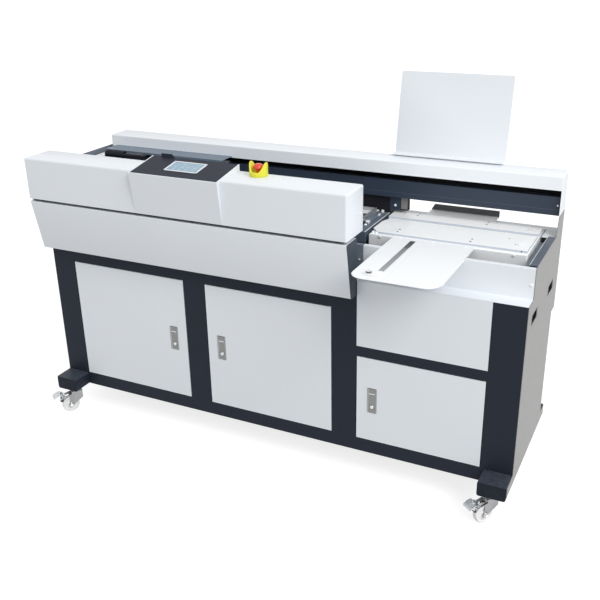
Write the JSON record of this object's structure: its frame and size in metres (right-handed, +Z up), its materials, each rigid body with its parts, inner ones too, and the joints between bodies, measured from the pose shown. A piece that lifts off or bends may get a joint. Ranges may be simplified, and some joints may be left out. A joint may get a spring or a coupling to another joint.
{
  "type": "perfect binding machine",
  "caption": "Floor-standing perfect binder: travelling book clamp on a guide beam, milling head, glue tank, lifting cover table with nipping plates, framed cabinet with doors on braked casters.",
  "frame": {"origin": "on the floor, under the middle of the machine's bounding box", "axes": "+X along the machine's length, from the clamp's parking end to the cover table; +Y from the operator's side to the back; +Z up"},
  "size_m": [2.0097, 0.8394, 1.4552],
  "materials": {
    "white_paint": "white powder coat, satin",
    "dark_paint": "near-black powder coat, satin",
    "slate_paint": "slate grey powder coat, satin",
    "grey_paint": "mid grey powder coat, satin",
    "steel": "brushed steel",
    "chrome": "bright chrome",
    "zinc": "bright zinc-plated pressed steel",
    "aluminium": "cast aluminium, machined rim",
    "nylon": "natural white nylon",
    "black_plastic": "matt black moulded plastic",
    "console_plastic": "dark grey membrane panel",
    "display": "glossy pale blue touch screen",
    "yellow_plastic": "yellow moulded plastic",
    "red_plastic": "red moulded plastic"
  },
  "bodies": {
    "cabinet": {"cabinet_frame": "dark_paint", "left_side_panel": "grey_paint", "right_side_panel": "grey_paint", "back_panel": "white_paint", "cabinet_floor": "dark_paint", "left_foot": "dark_paint", "right_foot": "dark_paint", "fixed_front_panel": "white_paint", "ledge_wall": "white_paint", "front_apron": "slate_paint", "machine_deck": "slate_paint", "side_rail": "slate_paint", "front_cover": "white_paint", "lower_front_panel": "white_paint", "console_housing": "white_paint", "console_panel": "console_plastic", "touch_screen": "display", "rear_cover": "white_paint", "document_board": "white_paint", "estop_guard": "yellow_plastic", "guide_beam": "slate_paint", "guide_rail": "steel", "beam_post": "steel", "lift_guide": "steel", "milling_motor": "grey_paint", "glue_tank": "aluminium", "power_inlet": "black_plastic"},
    "emergency_stop": {"estop_button": "red_plastic"},
    "carriage": {"clamp_carriage": "steel"},
    "front_jaw": {"clamp_jaw": "slate_paint", "clamp_motor": "black_plastic"},
    "press_table": {"table_box": "white_paint", "cover_tray": "white_paint", "tray_rule": "steel", "rear_tray": "white_paint"},
    "front_nip": {"front_nip_plate": "white_paint"},
    "rear_nip": {"rear_nip_plate": "white_paint"},
    "side_stop": {"tray_stop": "white_paint"},
    "side_stop_knob": {"stop_knob": "chrome"},
    "cutter": {"milling_cutter": "steel"},
    "roller": {"glue_roller": "steel"},
    "left_door": {"left_door": "white_paint"},
    "left_lever": {"left_lock_lever": "steel"},
    "left_button": {"left_lock_button": "chrome"},
    "middle_door": {"middle_door": "white_paint"},
    "middle_lever": {"middle_lock_lever": "steel"},
    "middle_button": {"middle_lock_button": "chrome"},
    "right_door": {"right_door": "white_paint"},
    "right_lever": {"right_lock_lever": "steel"},
    "right_button": {"right_lock_button": "chrome"},
    "front_left_fork": {"front_left_caster_fork": "zinc"},
    "front_left_wheel": {"front_left_caster_wheel": "nylon"},
    "front_left_pedal": {"front_left_brake_pedal": "zinc"},
    "front_right_fork": {"front_right_caster_fork": "zinc"},
    "front_right_wheel": {"front_right_caster_wheel": "nylon"},
    "front_right_pedal": {"front_right_brake_pedal": "zinc"},
    "rear_left_fork": {"rear_left_caster_fork": "zinc"},
    "rear_left_wheel": {"rear_left_caster_wheel": "nylon"},
    "rear_right_fork": {"rear_right_caster_fork": "zinc"},
    "rear_right_wheel": {"rear_right_caster_wheel": "nylon"}
  },
  "joints": [
    {"name": "left_door_hinge", "type": "hinge", "parent": "cabinet", "child": "left_door", "pos_m": [-0.87722, -0.17873, 0.433], "axis": [0, 0, -1], "range_deg": [0, 110]},
    {"name": "left_lever_hinge", "type": "hinge", "parent": "left_door", "child": "left_lever", "pos_m": [-0.40392, -0.18073, 0.475], "axis": [-1, 0, 0], "range_deg": [0, 40]},
    {"name": "left_button_slide", "type": "slide", "parent": "left_door", "child": "left_button", "axis": [0, 1, 0], "range_m": [0, 0.003], "stiffness_N_per_m": 400, "springref_m": -0.002},
    {"name": "middle_door_hinge", "type": "hinge", "parent": "cabinet", "child": "middle_door", "pos_m": [0.29528, -0.17873, 0.433], "axis": [0, 0, 1], "range_deg": [0, 110]},
    {"name": "middle_lever_hinge", "type": "hinge", "parent": "middle_door", "child": "middle_lever", "pos_m": [-0.17802, -0.18073, 0.475], "axis": [-1, 0, 0], "range_deg": [0, 40]},
    {"name": "middle_button_slide", "type": "slide", "parent": "middle_door", "child": "middle_button", "axis": [0, 1, 0], "range_m": [0, 0.003], "stiffness_N_per_m": 400, "springref_m": -0.002},
    {"name": "right_door_hinge", "type": "hinge", "parent": "cabinet", "child": "right_door", "pos_m": [0.87768, -0.17873, 0.34365], "axis": [0, 0, 1], "range_deg": [0, 110]},
    {"name": "right_lever_hinge", "type": "hinge", "parent": "right_door", "child": "right_lever", "pos_m": [0.46618, -0.18073, 0.38565], "axis": [-1, 0, 0], "range_deg": [0, 40]},
    {"name": "right_button_slide", "type": "slide", "parent": "right_door", "child": "right_button", "axis": [0, 1, 0], "range_m": [0, 0.003], "stiffness_N_per_m": 400, "springref_m": -0.002},
    {"name": "emergency_stop_press", "type": "slide", "parent": "cabinet", "child": "emergency_stop", "axis": [0, 0, -1], "range_m": [0, 0.005]},
    {"name": "carriage_travel", "type": "slide", "parent": "cabinet", "child": "carriage", "axis": [1, 0, 0], "range_m": [0, 1.295]},
    {"name": "jaw_clamp", "type": "slide", "parent": "carriage", "child": "front_jaw", "axis": [0, 1, 0], "range_m": [-0.045, 0.011]},
    {"name": "table_lift", "type": "slide", "parent": "cabinet", "child": "press_table", "axis": [0, 0, 1], "range_m": [0, 0.009]},
    {"name": "front_nip_slide", "type": "slide", "parent": "press_table", "child": "front_nip", "axis": [0, 1, 0], "range_m": [0, 0.009]},
    {"name": "rear_nip_slide", "type": "slide", "parent": "press_table", "child": "rear_nip", "axis": [0, -1, 0], "range_m": [0, 0.009]},
    {"name": "side_stop_slide", "type": "slide", "parent": "press_table", "child": "side_stop", "axis": [0, 1, 0], "range_m": [0, 0.355]},
    {"name": "knob_turn", "type": "hinge", "parent": "side_stop", "child": "side_stop_knob", "pos_m": [0.52108, -0.37693, 0.9331], "axis": [0, 0, 1], "continuous": true},
    {"name": "cutter_spin", "type": "hinge", "parent": "cabinet", "child": "cutter", "pos_m": [-0.04442, 0.20527, 0.935], "axis": [0, 0, 1], "continuous": true},
    {"name": "roller_spin", "type": "hinge", "parent": "cabinet", "child": "roller", "pos_m": [0.19358, 0.20527, 0.9305], "axis": [0, 1, 0], "continuous": true},
    {"name": "front_left_swivel", "type": "hinge", "parent": "cabinet", "child": "front_left_fork", "pos_m": [-0.92542, -0.23673, 0.11], "axis": [0, 0, 1], "continuous": true},
    {"name": "front_left_wheel_roll", "type": "hinge", "parent": "front_left_fork", "child": "front_left_wheel", "pos_m": [-0.94401, -0.26027, 0.0375], "axis": [0.7848, -0.6198, 0], "continuous": true},
    {"name": "front_left_brake", "type": "hinge", "parent": "front_left_fork", "child": "front_left_pedal", "pos_m": [-0.96136, -0.28224, 0.0766], "axis": [0.7848, -0.6198, 0], "range_deg": [0, 8]},
    {"name": "front_right_swivel", "type": "hinge", "parent": "cabinet", "child": "front_right_fork", "pos_m": [0.94258, -0.23673, 0.11], "axis": [0, 0, 1], "continuous": true},
    {"name": "front_right_wheel_roll", "type": "hinge", "parent": "front_right_fork", "child": "front_right_wheel", "pos_m": [0.92399, -0.26027, 0.0375], "axis": [0.7848, -0.6198, 0], "continuous": true},
    {"name": "front_right_brake", "type": "hinge", "parent": "front_right_fork", "child": "front_right_pedal", "pos_m": [0.90664, -0.28224, 0.0766], "axis": [0.7848, -0.6198, 0], "range_deg": [0, 8]},
    {"name": "rear_left_swivel", "type": "hinge", "parent": "cabinet", "child": "rear_left_fork", "pos_m": [-0.92542, 0.29627, 0.11], "axis": [0, 0, 1], "continuous": true},
    {"name": "rear_left_wheel_roll", "type": "hinge", "parent": "rear_left_fork", "child": "rear_left_wheel", "pos_m": [-0.91042, 0.27029, 0.0375], "axis": [0.866, 0.5, 0], "continuous": true},
    {"name": "rear_right_swivel", "type": "hinge", "parent": "cabinet", "child": "rear_right_fork", "pos_m": [0.94258, 0.29627, 0.11], "axis": [0, 0, 1], "continuous": true},
    {"name": "rear_right_wheel_roll", "type": "hinge", "parent": "rear_right_fork", "child": "rear_right_wheel", "pos_m": [0.93737, 0.26673, 0.0375], "axis": [0.9848, -0.1736, 0], "continuous": true}
  ],
  "couplings": [
    {"joint": "rear_nip_slide", "follows": "front_nip_slide", "ratio": 1}
  ]
}
